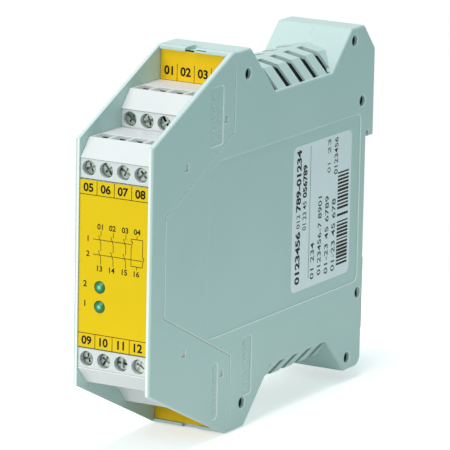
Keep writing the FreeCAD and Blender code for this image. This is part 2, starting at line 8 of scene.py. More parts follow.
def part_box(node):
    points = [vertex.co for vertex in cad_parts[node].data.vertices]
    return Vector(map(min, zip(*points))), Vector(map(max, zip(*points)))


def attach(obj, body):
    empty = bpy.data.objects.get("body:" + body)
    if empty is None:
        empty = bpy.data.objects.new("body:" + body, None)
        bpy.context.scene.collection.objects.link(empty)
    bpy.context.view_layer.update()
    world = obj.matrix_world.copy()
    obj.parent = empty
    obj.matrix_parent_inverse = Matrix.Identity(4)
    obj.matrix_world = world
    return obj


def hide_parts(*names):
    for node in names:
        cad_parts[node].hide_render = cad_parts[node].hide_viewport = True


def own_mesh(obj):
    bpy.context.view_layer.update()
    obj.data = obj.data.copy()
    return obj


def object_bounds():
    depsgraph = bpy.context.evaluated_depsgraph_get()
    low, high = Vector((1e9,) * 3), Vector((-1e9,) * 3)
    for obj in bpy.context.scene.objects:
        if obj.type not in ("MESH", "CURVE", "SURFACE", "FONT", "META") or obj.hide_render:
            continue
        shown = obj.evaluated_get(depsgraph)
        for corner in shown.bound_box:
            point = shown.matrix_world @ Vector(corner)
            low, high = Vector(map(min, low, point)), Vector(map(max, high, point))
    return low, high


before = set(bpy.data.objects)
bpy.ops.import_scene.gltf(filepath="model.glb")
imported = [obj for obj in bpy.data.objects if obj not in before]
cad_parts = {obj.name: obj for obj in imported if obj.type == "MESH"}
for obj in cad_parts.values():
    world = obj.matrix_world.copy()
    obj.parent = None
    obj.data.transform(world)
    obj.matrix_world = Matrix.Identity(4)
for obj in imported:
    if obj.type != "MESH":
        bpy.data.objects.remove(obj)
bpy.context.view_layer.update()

mm = 0.001
print("frame loaded:", len(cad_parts), "nodes")


# Node trees

class Wire:
    # One output socket. + - * / on it add Math nodes, and node() adds any other node.
    def __init__(self, tree, socket=None):
        self.tree = tree
        self.socket = socket

    def node(self, kind, inputs=None, out=0, stops=None, **settings):
        made = self.tree.nodes.new(kind)
        for name, value in settings.items():
            setattr(made, name, value)
        if stops:
            ramp = made.color_ramp
            while len(ramp.elements) < len(stops):
                ramp.elements.new(1.0)
            for element, (place, colour) in zip(ramp.elements, stops):
                element.position = place
                element.color = colour
        for key, value in (inputs or {}).items():
            self.feed(made.inputs[key], value)
        return Wire(self.tree, made.outputs[out])

    def feed(self, socket, value):
        if isinstance(value, (list, tuple)) and value and isinstance(value[0], Wire):
            for wire in value:
                self.tree.links.new(wire.socket, socket)
        elif isinstance(value, Wire):
            self.tree.links.new(value.socket, socket)
        else:
            socket.default_value = value

    def combine(self, operation, first, second):
        return self.node("ShaderNodeMath", {0: first, 1: second}, operation=operation)

    def __add__(self, other):
        return self.combine("ADD", self, other)

    def __radd__(self, other):
        return self.combine("ADD", other, self)

    def __sub__(self, other):
        return self.combine("SUBTRACT", self, other)

    def __rsub__(self, other):
        return self.combine("SUBTRACT", other, self)

    def __mul__(self, other):
        return self.combine("MULTIPLY", self, other)

    def __rmul__(self, other):
        return self.combine("MULTIPLY", other, self)

    def __truediv__(self, other):
        return self.combine("DIVIDE", self, other)

    def __rtruediv__(self, other):
        return self.combine("DIVIDE", other, self)

    def other(self, out):
        # another output of the same node
        return Wire(self.tree, self.socket.node.outputs[out])


def rgba(colour):
    return (*colour, 1.0)


def blendColour(wire, share, low, high):
    return wire.node("ShaderNodeMix", {0: share, 6: low, 7: high}, out=2, data_type="RGBA")


# Materials

def newMaterial(name):
    material = bpy.data.materials.new(name)
    material.use_nodes = True
    tree = material.node_tree
    tree.nodes.clear()
    shader = tree.nodes.new("ShaderNodeBsdfPrincipled")
    output = tree.nodes.new("ShaderNodeOutputMaterial")
    tree.links.new(shader.outputs[0], output.inputs[0])
    place = Wire(tree).node("ShaderNodeTexCoord", out="Object")
    return material, shader, place


def noiseAt(place, scale, detail, stretch=(1, 1, 1)):
    spot = place.node("ShaderNodeMapping", {"Vector": place, "Scale": stretch})
    return place.node("ShaderNodeTexNoise", {"Vector": spot, "Scale": scale, "Detail": detail})


def spread(noise, low, high):
    # noise stays mostly within 0.3 to 0.7, so it is stretched to low..high
    return noise.node("ShaderNodeMapRange", {0: noise, 1: 0.3, 2: 0.7, 3: low, 4: high})


def mottled(noise, look):
    return blendColour(noise, spread(noise, 0.0, 1.0), rgba(look["shade"]), rgba(look["colour"]))


def dress(shader, tone, roughness, height, look):
    tone.feed(shader.inputs["Base Color"], tone)
    tone.feed(shader.inputs["Roughness"], roughness)
    bump = height.node("ShaderNodeBump", {"Height": height, "Distance": look["grainDepth"]})
    tone.feed(shader.inputs["Normal"], bump)
    shader.inputs["Specular IOR Level"].default_value = look["shine"]


def lensShadeAndHighlight(place, tone, rim):
    # painted shade and a painted highlight: a dark rim and a pale core on each lens, by the distance from the
    # nearest lens's axis
    flat = place.node("ShaderNodeVectorMath", {0: place, 1: (1, 0, 1)}, operation="MULTIPLY")
    gaps = []
    for node in rim["nodes"]:
        low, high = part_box(node)
        axis = ((low.x + high.x) / 2, 0, (low.z + high.z) / 2)
        gaps.append(flat.node("ShaderNodeVectorMath", {0: flat, 1: axis}, out=1, operation="DISTANCE"))
    nearest = flat.node("ShaderNodeMath", {0: gaps[0], 1: gaps[1]}, operation="MINIMUM")
    outer = flat.node("ShaderNodeMapRange", {0: nearest, 1: rim["from"], 2: rim["to"]})
    core = flat.node("ShaderNodeMapRange", {0: nearest, 1: rim["core"], 2: 0.0})
    tone = blendColour(place, outer, tone, rgba(rim["colour"]))
    return blendColour(place, core, tone, rgba(rim["coreColour"]))


def plastic(name, look):
    # mottled tone and a fine grain; mouldings also have flow marks
    material, shader, place = newMaterial(name)
    grain = noiseAt(place, look["grainScale"], look["grainDetail"])
    tone = mottled(noiseAt(place, look["cloudScale"], look["cloudDetail"]), look)
    roughness = spread(grain, look["rough"] - look["grainRough"], look["rough"] + look["grainRough"])
    if "flowRough" in look:
        flow = noiseAt(place, look["flowScale"] * look["cloudScale"], look["grainDetail"], look["flowStretch"])
        roughness = roughness + spread(flow, -look["flowRough"], look["flowRough"])
    # painted highlight: faces marked as edge, the rounds and the cover's rim, take the pale edge colour
    if "edgeColour" in look:
        edge = place.node("ShaderNodeAttribute", out="Fac", attribute_name="edge")
        tone = blendColour(place, edge, tone, rgba(look["edgeColour"]))
    # painted shade round each lens's rim and a painted highlight in its core
    if "rim" in look:
        tone = lensShadeAndHighlight(place, tone, look["rim"])
    dress(shader, tone, roughness, grain, look)
    return material


def platedMetal(name, look):
    material, shader, place = newMaterial(name)
    brushed = noiseAt(place, look["grainScale"], look["grainDetail"], look["stretch"])
    stain = noiseAt(place, look["stainScale"], look["stainDetail"])
    tone = mottled(stain, look)
    # painted shade in the slots, darker the deeper they go
    if "sunkDark" in look:
        sunk = place.node("ShaderNodeAttribute", out="Fac", attribute_name="sunk")
        tone = blendColour(place, sunk * look["sunkDark"], tone, rgba(look["slotShade"]))
    roughness = spread(stain, look["rough"] - look["smoother"], look["rough"] + look["rougher"])
    dress(shader, tone, roughness, brushed, look)
    shader.inputs["Metallic"].default_value = 1.0
    return material


def circuitBoard(name, look):
    # solder mask over copper tracks, which stand up a little and look paler
    material, shader, place = newMaterial(name)
    weave = noiseAt(place, look["weaveScale"], 2.0)
    tracks = place.node("ShaderNodeTexBrick", {
        "Vector": place.node("ShaderNodeMapping", {"Vector": place, "Rotation": (0, math.pi / 2, 0)}),
        "Color1": rgba(look["colour"]), "Color2": rgba(look["colour"]), "Mortar": rgba(look["track"]),
        "Scale": look["trackScale"], "Mortar Size": look["trackWidth"],
        "Mortar Smooth": look["trackSmooth"]})
    height = tracks.other(1) * (1.0 - look["weaveShare"]) + weave * look["weaveShare"]
    dress(shader, tracks, spread(weave, look["smoothest"], look["roughest"]), height, look)
    return material


plainPlastic = {"shine": 0.5, "cloudScale": 90.0, "cloudDetail": 3.0,
                "grainScale": 3000.0, "grainDetail": 2.0, "grainDepth": 0.01 * mm, "grainRough": 0.05,
                "flowRough": 0.03, "flowScale": 2.0, "flowStretch": (1.0, 0.35, 1.0)}
plasticLooks = {
    # the edge colours are painted highlights on rounded edges and on the cover's rim
    "housing_plastic": {"colour": (0.545, 0.71, 0.68), "shade": (0.52, 0.685, 0.655), "rough": 0.46,
                        "edgeColour": (0.88, 0.92, 0.895), "shine": 0.35,
                        "cloudScale": 35.0, "grainScale": 3200.0, "grainDepth": 0.012 * mm},
    "block_plastic": {"colour": (0.69, 0.735, 0.73), "shade": (0.66, 0.705, 0.70), "rough": 0.42,
                      "edgeColour": (0.88, 0.92, 0.91), "shine": 0.35,
                      "cloudScale": 60.0, "grainScale": 3600.0},
    "foot_plastic": {"colour": (0.055, 0.06, 0.06), "shade": (0.045, 0.05, 0.05), "rough": 0.4,
                     "cloudScale": 60.0, "grainDepth": 0.012 * mm},
    "relay_case": {"colour": (0.80, 0.82, 0.80), "shade": (0.74, 0.77, 0.75), "rough": 0.3,
                   "cloudScale": 80.0, "grainDepth": 0.008 * mm},
    "fuse_case": {"colour": (0.05, 0.045, 0.042), "shade": (0.04, 0.036, 0.034), "rough": 0.38},
    "chip_case": {"colour": (0.025, 0.025, 0.027), "shade": (0.018, 0.018, 0.02), "rough": 0.55,
                  "shine": 0.4, "grainScale": 5000.0, "grainDepth": 0.014 * mm},
    "pin_black": {"colour": (0.02, 0.02, 0.022), "shade": (0.015, 0.015, 0.016), "rough": 0.45,
                  "grainScale": 4000.0},
    # hole_dark and gap_shade colour painted shade: the dark sheets in unlit places and the line under each
    # block's bevel
    "hole_dark": {"colour": (0.012, 0.016, 0.015), "shade": (0.008, 0.011, 0.010), "rough": 0.7, "shine": 0.1},
    "gap_shade": {"colour": (0.20, 0.25, 0.24), "shade": (0.16, 0.20, 0.19), "rough": 0.6, "shine": 0.2},
    # raised numbers on the side: paler than the housing, a painted highlight
    "raised_edge": {"colour": (0.68, 0.81, 0.78), "shade": (0.64, 0.78, 0.75), "rough": 0.46, "shine": 0.35,
                    "cloudScale": 35.0, "grainScale": 3200.0, "grainDepth": 0.012 * mm},
    "seam_shade": {"colour": (0.42, 0.52, 0.50), "shade": (0.38, 0.48, 0.46), "rough": 0.5, "shine": 0.3},
}
plainFilm = {"cloudScale": 90.0, "cloudDetail": 3.0, "grainScale": 2600.0, "grainDetail": 1.0,
             "grainDepth": 0.006 * mm, "grainRough": 0.04}
filmLooks = {
    "label_film": {"colour": (0.83, 0.585, 0.007), "shade": (0.80, 0.56, 0.006), "rough": 0.4, "shine": 0.12},
    # marker film: the label film darker and more orange, painted shade on the markers
    "marker_film": {"colour": (0.83, 0.535, 0.009), "shade": (0.80, 0.51, 0.008), "rough": 0.4, "shine": 0.12},
    "rating_film": {"colour": (0.91, 0.96, 0.99), "shade": (0.88, 0.93, 0.96), "rough": 0.42, "shine": 0.3},
    "sleeve": {"colour": (0.03, 0.035, 0.08), "shade": (0.02, 0.025, 0.06), "rough": 0.3, "shine": 0.5,
               "grainDepth": 0.005 * mm},
    "ink": {"colour": (0.010, 0.008, 0.006), "shade": (0.016, 0.013, 0.010), "rough": 0.5, "shine": 0.1,
            "grainDepth": 0.003 * mm},
    "paleInk": {"colour": (0.12, 0.14, 0.14), "shade": (0.17, 0.19, 0.19), "rough": 0.5, "shine": 0.1,
                "grainDepth": 0.003 * mm},
}
plainMetal = {"shine": 0.5, "smoother": 0.08, "rougher": 0.1, "grainDetail": 3.0, "stretch": (1, 1, 1),
              "stainScale": 400.0, "stainDetail": 4.0}
metalLooks = {
    "screw_steel": {"colour": (0.56, 0.64, 0.58), "shade": (0.17, 0.22, 0.19), "rough": 0.36,
                    # the slot shade is painted shade, darkest at the slot's floor
                    "sunkDark": 0.9, "slotShade": (0.05, 0.075, 0.065),
                    "grainScale": 1800.0, "grainDepth": 0.03 * mm},
    "cage_steel": {"colour": (0.60, 0.60, 0.56), "shade": (0.46, 0.46, 0.43), "rough": 0.4,
                   "grainScale": 1500.0, "stretch": (1, 0.2, 1), "grainDepth": 0.008 * mm},
    "spring_steel": {"colour": (0.55, 0.55, 0.54), "shade": (0.4, 0.4, 0.4), "rough": 0.32,
                     "grainScale": 2500.0, "grainDepth": 0.005 * mm},
    "contact_brass": {"colour": (0.78, 0.66, 0.38), "shade": (0.62, 0.5, 0.27), "rough": 0.34,
                      "grainScale": 1500.0, "stretch": (1, 0.2, 1), "grainDepth": 0.006 * mm},
}
plainLens = {"cloudScale": 700.0, "cloudDetail": 2.0,
             "grainScale": 3500.0, "grainDetail": 1.0, "grainRough": 0.03}
lensLooks = {
    # the rim colour is painted shade round each lens's edge, the core colour a painted highlight in its middle
    "light_green": {"colour": (0.0, 0.27, 0.075), "shade": (0.0, 0.20, 0.055), "rough": 0.19,
                    "shine": 0.35, "grainDepth": 0.002 * mm, "rim": {
                        "nodes": ("upper_light_guide", "lower_light_guide"), "from": 0.8 * mm, "to": 1.5 * mm,
                        "colour": (0.0, 0.11, 0.035), "core": 0.75 * mm, "coreColour": (0.35, 0.85, 0.6)}},
    "led_white": {"colour": (0.85, 0.85, 0.78), "shade": (0.75, 0.75, 0.66), "rough": 0.23,
                  "shine": 0.5, "grainDepth": 0.003 * mm},
}
boardLook = {"colour": (0.02, 0.16, 0.06), "track": (0.05, 0.27, 0.11), "shine": 0.5,
             "trackScale": 260.0, "trackWidth": 0.012, "trackSmooth": 0.2,
             "weaveScale": 1500.0, "weaveShare": 0.2, "grainDepth": 0.02 * mm, "smoothest": 0.3, "roughest": 0.42}

makers = ((plastic, plainPlastic, plasticLooks), (plastic, plainFilm, filmLooks),
          (platedMetal, plainMetal, metalLooks), (plastic, plainLens, lensLooks))
materials = {name: maker(name, {**plain, **look})
             for maker, plain, looks in makers for name, look in looks.items()}
materials["board_green"] = circuitBoard("board_green", boardLook)

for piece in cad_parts.values():
    piece.data.materials[0] = materials[piece.data.materials[0].name.split(".")[0]]
# the markers take a darker, more orange copy of the label film as painted shade
for marker in ("upper_marker", "lower_marker"):
    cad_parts[marker].data.materials[0] = materials["marker_film"]
print("materials made:", len(materials))


# Making pieces

def addPiece(name, mesh, body, material=None):
    piece = bpy.data.objects.new(name, mesh)
    bpy.context.scene.collection.objects.link(piece)
    if material:
        mesh.materials.clear()
        mesh.materials.append(materials[material])
    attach(piece, body)
    return piece


def softenShading(mesh, sharpDegrees=35.0):
    # smooth shading that stops at edges sharper than this
    shape = bmesh.new()
    shape.from_mesh(mesh)
    for face in shape.faces:
        face.smooth = True
    for edge in shape.edges:
        edge.smooth = edge.is_manifold and edge.calc_face_angle(0.0) < math.radians(sharpDegrees)
    shape.to_mesh(mesh)
    shape.free()


def newTree(name, sockets):
    # geometry tree with named inputs: {name: (socket type, value)}
    tree = bpy.data.node_groups.new(name, "GeometryNodeTree")
    tree.interface.new_socket("Geometry", in_out="OUTPUT", socket_type="NodeSocketGeometry")
    for label, (kind, value) in sockets.items():
        socket = tree.interface.new_socket(label, in_out="INPUT", socket_type=kind)
        if value is not None:
            socket.default_value = value
    source = tree.nodes.new("NodeGroupInput")
    return tree, {label: Wire(tree, source.outputs[label]) for label in sockets}


def closeTree(tree, geometry, material):
    solid = geometry.node("GeometryNodeRealizeInstances", {0: geometry})
    dressed = solid.node("GeometryNodeSetMaterial", {"Geometry": solid, "Material": material})
    output = tree.nodes.new("NodeGroupOutput")
    tree.links.new(dressed.socket, output.inputs[0])


def grow(name, tree, values):
    # plain mesh from a geometry tree
    holder = bpy.data.objects.new(name + "Holder", bpy.data.meshes.new(name + "Holder"))
    bpy.context.scene.collection.objects.link(holder)
    modifier = holder.modifiers.new("shape", "NODES")
    modifier.node_group = tree
    for item in tree.interface.items_tree:
        if item.in_out == "INPUT" and item.name in values:
            modifier[item.identifier] = values[item.name]
    whole = holder.evaluated_get(bpy.context.evaluated_depsgraph_get())
    mesh = bpy.data.meshes.new_from_object(whole)
    bpy.data.objects.remove(holder)
    mesh.name = name
    return mesh


# Terminal screws: cheese head with a slot, a short cross and a bevelled rim, and a threaded shank

screwLook = {
    "headHeight": 1.4 * mm, "rimBevel": 0.22 * mm, "slotWidth": 0.65 * mm, "slotDepth": 0.7 * mm,
    "shankRadius": 1.08 * mm, "threadRadius": 1.25 * mm, "threadPitch": 0.45 * mm, "around": 40,
    "crossLength": 2.3 * mm, "crossWidth": 0.5 * mm, "crossShare": 0.9,  # of the slot's depth
    "tipShare": 0.35, "threadSteps": 18, "ridgeSides": 4,
}
slotTurns = {  # how far each screw's slot is turned, in degrees, from the left
    "upper_rear": (-35, 20, -55, 30), "upper_front": (22, -52, -26, 42),
    "lower_front": (14, 58, -4, 62), "lower_rear": (-20, 40, 75, -48),
}


def terminalScrewTree():
    size = "NodeSocketFloat"
    tree, put = newTree("terminalScrew", {
        "Head Radius": (size, 1.85 * mm), "Head Height": (size, screwLook["headHeight"]),
        "Rim Bevel": (size, screwLook["rimBevel"]), "Slot Width": (size, screwLook["slotWidth"]),
        "Slot Depth": (size, screwLook["slotDepth"]), "Cross Length": (size, screwLook["crossLength"]),
        "Cross Width": (size, screwLook["crossWidth"]), "Shank Radius": (size, screwLook["shankRadius"]),
        "Thread Radius": (size, screwLook["threadRadius"]), "Thread Pitch": (size, screwLook["threadPitch"]),
        "Around": ("NodeSocketInt", screwLook["around"]), "Length": (size, 5.0 * mm), "Turn": (size, 0.0),
        "Place": ("NodeSocketVector", (0, 0, 0)), "Material": ("NodeSocketMaterial", None)})
    start = Wire(tree)

    def stub(radiusFar, radiusNear, length, top):
        # round stub that hangs down from this height; the head's face is at zero
        cone = start.node("GeometryNodeMeshCone", {
            "Vertices": put["Around"], "Radius Top": radiusNear, "Radius Bottom": radiusFar, "Depth": length})
        lift = start.node("ShaderNodeCombineXYZ", {2: top - length})
        return start.node("GeometryNodeTransform", {"Geometry": cone, "Translation": lift})

    radius, bevel, thin = put["Head Radius"], put["Rim Bevel"], put["Shank Radius"]
    overlap = 0.05 * mm  # how far the shank runs into the head
    rim = stub(radius, radius - bevel, bevel, 0.0)
    head = stub(radius, radius, put["Head Height"] - bevel, bevel * -1.0)
    tip = thin * screwLook["tipShare"]
    shankLength = put["Length"] - put["Head Height"] - tip
    shank = stub(thin, thin, shankLength + overlap, overlap - put["Head Height"])
    point = stub(thin - tip, thin, tip, tip - put["Length"])
    body = start.node("GeometryNodeMeshBoolean", {"Mesh 2": [rim, head, shank, point]}, operation="UNION")

    def groove(length, width, depth):
        # depth reaches as far above the head as into it
        room = start.node("ShaderNodeCombineXYZ", {0: length, 1: width, 2: depth * 2.0})
        return start.node("GeometryNodeTransform", {
            "Geometry": start.node("GeometryNodeMeshCube", {"Size": room}),
            "Rotation": start.node("ShaderNodeCombineXYZ", {2: put["Turn"]})})

    slot = groove(radius * 2.4, put["Slot Width"], put["Slot Depth"])  # runs out past both sides of the head
    cross = groove(put["Cross Width"], put["Cross Length"], put["Slot Depth"] * screwLook["crossShare"])
    slotted = body
    for cutter in (slot, cross):
        slotted = start.node("GeometryNodeMeshBoolean", {"Mesh 1": slotted, "Mesh 2": [cutter]},
                             operation="DIFFERENCE")
    crest = put["Thread Radius"] - thin
    threadLength = shankLength - put["Thread Pitch"] * 1.5
    spiral = start.node("GeometryNodeCurveSpiral", {
        "Resolution": screwLook["threadSteps"], "Rotations": threadLength / put["Thread Pitch"],
        "Start Radius": thin, "End Radius": thin, "Height": threadLength})
    ridge = start.node("GeometryNodeCurvePrimitiveCircle",
                       {"Resolution": screwLook["ridgeSides"], "Radius": crest}, mode="RADIUS")
    thread = start.node("GeometryNodeCurveToMesh", {"Curve": spiral, "Profile Curve": ridge, "Fill Caps": True})
    threadLow = start.node("ShaderNodeCombineXYZ", {2: tip - put["Length"] + crest})
    threadPlaced = start.node("GeometryNodeTransform", {"Geometry": thread, "Translation": threadLow})
    whole = start.node("GeometryNodeJoinGeometry", {0: [slotted, threadPlaced]})
    # painted shade: the lower a spot lies in the slot, the darker the material paints it
    height = start.node("ShaderNodeSeparateXYZ", {0: start.node("GeometryNodeInputPosition")}, out=2)
    sunk = start.node("ShaderNodeMath", {0: height / (put["Slot Depth"] * -1.0)}, operation="MULTIPLY",
                      use_clamp=True)
    marked = start.node("GeometryNodeStoreNamedAttribute", {"Geometry": whole, "Name": "sunk", "Value": sunk},
                        data_type="FLOAT", domain="POINT")
    screw = start.node("GeometryNodeTransform", {
        "Geometry": marked, "Translation": put["Place"], "Rotation": (math.pi / 2, 0, 0)})
    closeTree(tree, screw, put["Material"])
    return tree


def addTerminalScrews():
    tree = terminalScrewTree()
    number = 0
    for row in slotTurns.values():
        for turn in row:
            number += 1
            node = "clamp_screw_%02d" % number
            low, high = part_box(node)
            middle = (low + high) / 2
            mesh = grow("terminalScrew%02d" % number, tree, {
                "Head Radius": (high.x - low.x) / 2, "Length": high.y - low.y, "Turn": math.radians(turn),
                "Place": (middle.x, low.y, middle.z), "Material": materials["screw_steel"]})
            softenShading(mesh)
            screw = addPiece(mesh.name, mesh, "screw_%02d" % number)
            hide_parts(node)
    print("terminal screws:", number)


addTerminalScrews()


# Spring of the rail foot: open turns between two closed end turns

springLook = {"wire": 0.4 * mm, "openTurns": 5.0, "endTurns": 1.0, "endPitch": 1.02, "around": 24,
              "wireSides": 10, "sharpDegrees": 50.0, "squeezed": 7.0 / 11.0}


def coilTree():
    size = "NodeSocketFloat"
    tree, put = newTree("footSpring", {
        "Radius": (size, 1.25 * mm), "Wire": (size, springLook["wire"]), "Height": (size, 11 * mm),
        "Open Turns": (size, springLook["openTurns"]), "End Turns": (size, springLook["endTurns"]),
        "Around": ("NodeSocketInt", springLook["around"]), "Place": ("NodeSocketVector", (0, 0, 0)),
        "Material": ("NodeSocketMaterial", None)})
    start = Wire(tree)

    def stretch(turns, height, low):
        path = start.node("GeometryNodeCurveSpiral", {
            "Resolution": put["Around"], "Rotations": turns, "Start Radius": put["Radius"],
            "End Radius": put["Radius"], "Height": height})
        lift = start.node("ShaderNodeCombineXYZ", {2: low})
        return start.node("GeometryNodeTransform", {"Geometry": path, "Translation": lift})

    closed = put["Wire"] * springLook["endPitch"] * put["End Turns"]
    middle = put["Height"] - put["Wire"] - closed * 2.0
    half = put["Wire"] * 0.5
    paths = start.node("GeometryNodeJoinGeometry", {0: [
        stretch(put["End Turns"], closed, half), stretch(put["Open Turns"], middle, half + closed),
        stretch(put["End Turns"], closed, half + closed + middle)]})
    section = start.node("GeometryNodeCurvePrimitiveCircle",
                         {"Resolution": springLook["wireSides"], "Radius": half}, mode="RADIUS")
    coil = start.node("GeometryNodeCurveToMesh", {"Curve": paths, "Profile Curve": section, "Fill Caps": True})
    placed = start.node("GeometryNodeTransform", {"Geometry": coil, "Translation": put["Place"]})
    closeTree(tree, placed, put["Material"])
    return tree


def addFootSpring():
    low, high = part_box("foot_spring")
    middle = (low + high) / 2
    mesh = grow("footSpring", coilTree(), {
        "Radius": (high.x - low.x - springLook["wire"]) / 2, "Height": high.z - low.z,
        "Place": (middle.x, middle.y, low.z), "Material": materials["spring_steel"]})
    softenShading(mesh, springLook["sharpDegrees"])
    spring = addPiece(mesh.name, mesh, "housing")
    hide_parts("foot_spring")
    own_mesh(spring)
    print("foot spring done")


addFootSpring()


# Mouldings with softened edges

mouldingLook = {
    "edge": 0.2 * mm, "steps": 2, "sharpDegrees": 30.0, "flatDegrees": 0.6, "nearby": 0.001 * mm,
    "rimFrom": 9.9 * mm, "rimFlat": 0.1,  # the cover's rim faces, which get a painted highlight, lie this far out and hardly lean sideways
    "names": {
        "upper_rear_block": "upperRearBlock", "upper_front_block": "upperFrontBlock",
        "lower_front_block": "lowerFrontBlock", "lower_rear_block": "lowerRearBlock",
        "front_cover": "frontCover", "rear_housing": "rearHousing"},
}


def mergedCopy(node, name, isBlock):
    # a solid's mesh as whole faces, marked for rounding: every sharp edge of a block, but only the edges
    # on the two outer sides of the cover and the housing
    look = mouldingLook
    shape = bmesh.new()
    shape.from_mesh(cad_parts[node].data)
    bmesh.ops.remove_doubles(shape, verts=shape.verts, dist=look["nearby"])
    bmesh.ops.dissolve_limit(shape, angle_limit=math.radians(look["flatDegrees"]),
                             verts=shape.verts, edges=shape.edges)
    rounded = shape.edges.layers.float.new("bevel_weight_edge")
    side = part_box(node)[1].x - look["nearby"]
    for edge in shape.edges:
        sharp = edge.is_manifold and edge.calc_face_angle(0.0) > math.radians(look["sharpDegrees"])
        onSide = all(abs(vertex.co.x) > side for vertex in edge.verts)
        edge[rounded] = float(sharp and (onSide or isBlock))
        edge.smooth = not sharp or edge[rounded] > 0
    for face in shape.faces:
        face.smooth = True
    mesh = bpy.data.meshes.new(name)
    shape.to_mesh(mesh)
    shape.free()
    if "custom_normal" in mesh.attributes:
        mesh.attributes.remove(mesh.attributes["custom_normal"])
    return mesh


def softenedCopy(node, name):
    # rounds come out in the second material slot, so that they can be marked for a painted highlight
    look = mouldingLook
    isBlock = node.endswith("_block")
    mesh = mergedCopy(node, name, isBlock)
    for _ in range(2):
        mesh.materials.append(None)
    holder = bpy.data.objects.new(name + "Holder", mesh)
    bpy.context.scene.collection.objects.link(holder)
    rounding = holder.modifiers.new("edges", "BEVEL")
    rounding.material = 1
    rounding.width = look["edge"]
    rounding.segments = look["steps"]
    rounding.limit_method = "WEIGHT"
    rounding.use_clamp_overlap = isBlock
    levelled = holder.modifiers.new("normals", "WEIGHTED_NORMAL")
    levelled.weight = 100
    levelled.keep_sharp = True
    whole = holder.evaluated_get(bpy.context.evaluated_depsgraph_get())
    softened = bpy.data.meshes.new_from_object(whole)
    bpy.data.objects.remove(holder)
    softened.name = name
    print(name, "rounds:", sum(face.material_index for face in softened.polygons))
    # mark the rounds and the cover's rim faces for the painted highlight
    pale = softened.attributes.new("edge", "FLOAT", "FACE")
    for face, mark in zip(softened.polygons, pale.data):
        outward = abs(face.center.x) > look["rimFrom"] and abs(face.normal.x) < look["rimFlat"]
        rimHighlighted = node == "front_cover" and outward
        mark.value = float(face.material_index == 1 or rimHighlighted)
        face.material_index = 0
    return softened


def addMouldings():
    for node, name in mouldingLook["names"].items():
        slot = "block_plastic" if node.endswith("_block") else "housing_plastic"
        moulding = addPiece(name, softenedCopy(node, name), "housing", slot)
        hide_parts(node)
    print("mouldings softened:", len(mouldingLook["names"]))


addMouldings()


# Flat drawing: ink on the films, and thin sheets in dark places

inkLook = {"rise": 0.02 * mm, "line": 0.16 * mm, "thinLine": 0.15 * mm, "weight": 0.03, "smallWeight": 0.02,
           "curveSteps": 5}
upright = Matrix.Rotation(math.pi / 2, 4, "X")  # turns a flat drawing to face the front


def screwAxis(number):
    low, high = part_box("clamp_screw_%02d" % number)
    return (low + high) / 2


poleSpots = [screwAxis(number).x for number in range(1, 5)]


def faceOf(node, side):
    # how the printing plane of a film lies: front films face -Y, the side film faces +X
    low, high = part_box(node)
    if side == "front":
        return Matrix.Translation((0, low.y, 0)) @ upright
    turn = Matrix(((0, 0, 1, 0), (0, -1, 0, 0), (1, 0, 0, 0), (0, 0, 0, 1)))
    return Matrix.Translation((high.x, 0, 0)) @ turn


def addBar(shape, low, high):
    # flat bar between two corners, as thick as the ink
    (x0, y0), (x1, y1) = low, high
    outline = ((x0, y0), (x1, y0), (x1, y1), (x0, y1))
    corners = [shape.verts.new((x, y, z)) for z in (0.0, inkLook["rise"]) for x, y in outline]
    for face in ((3, 2, 1, 0), (4, 5, 6, 7), (0, 1, 5, 4), (1, 2, 6, 5), (2, 3, 7, 6), (3, 0, 4, 7)):
        shape.faces.new([corners[index] for index in face])
    return corners


def addTicks(shape, low, high):
    # upright lines between neighbouring poles
    half = inkLook["line"] / 2
    for left, right in zip(poleSpots, poleSpots[1:]):
        middle = (left + right) / 2
        addBar(shape, (middle - half, low), (middle + half, high))


def addSheet(shape, low, high, y):
    # sheet between two corners (x, z) that faces the front at y
    made = addBar(shape, low, high)
    bmesh.ops.transform(shape, matrix=Matrix.Translation((0, y, 0)) @ upright, verts=made)


def addStroke(shape, start, end, width):
    # ink line from start to end
    start, end = Vector(start), Vector(end)
    along = end - start
    made = addBar(shape, (0.0, -width / 2), (along.length, width / 2))
    turn = Matrix.Translation((start.x, start.y, 0)) @ Matrix.Rotation(math.atan2(along.y, along.x), 4, "Z")
    bmesh.ops.transform(shape, matrix=turn, verts=made)


def addNumber(shape, words, middle, height, weight):
    # plain number of this height, centred on middle
    letters = bpy.data.curves.new("number", "FONT")
    letters.body = words
    letters.size = 1.0
    letters.offset = weight
    letters.extrude = 0.5
    letters.resolution_u = inkLook["curveSteps"]
    holder = bpy.data.objects.new("number", letters)
    bpy.context.scene.collection.objects.link(holder)
    bpy.context.view_layer.update()
    mesh = bpy.data.meshes.new_from_object(holder.evaluated_get(bpy.context.evaluated_depsgraph_get()))
    bpy.data.objects.remove(holder)
    spots = [vertex.co for vertex in mesh.vertices]
    low = Vector(map(min, *spots))
    high = Vector(map(max, *spots))
    scale = height / (high.y - low.y)
    centre = (low + high) / 2
    fit = (Matrix.Translation((middle[0], middle[1], inkLook["rise"] / 2))
           @ Matrix.Diagonal((scale, scale, inkLook["rise"] / (high.z - low.z), 1))
           @ Matrix.Translation(-centre))
    mesh.transform(fit)
    shape.from_mesh(mesh)
    bpy.data.meshes.remove(mesh)


def addFlatPiece(name, shape, plane, material="ink"):
    mesh = bpy.data.meshes.new(name)
    bmesh.ops.transform(shape, matrix=plane, verts=shape.verts)
    shape.to_mesh(mesh)
    shape.free()
    addPiece(name, mesh, "housing", material)


def numberRow(shape, first, height, level):
    for index, spot in enumerate(poleSpots):
        addNumber(shape, "%02d" % (first + index), (spot, level), height, inkLook["weight"])


# Front label and marker strips

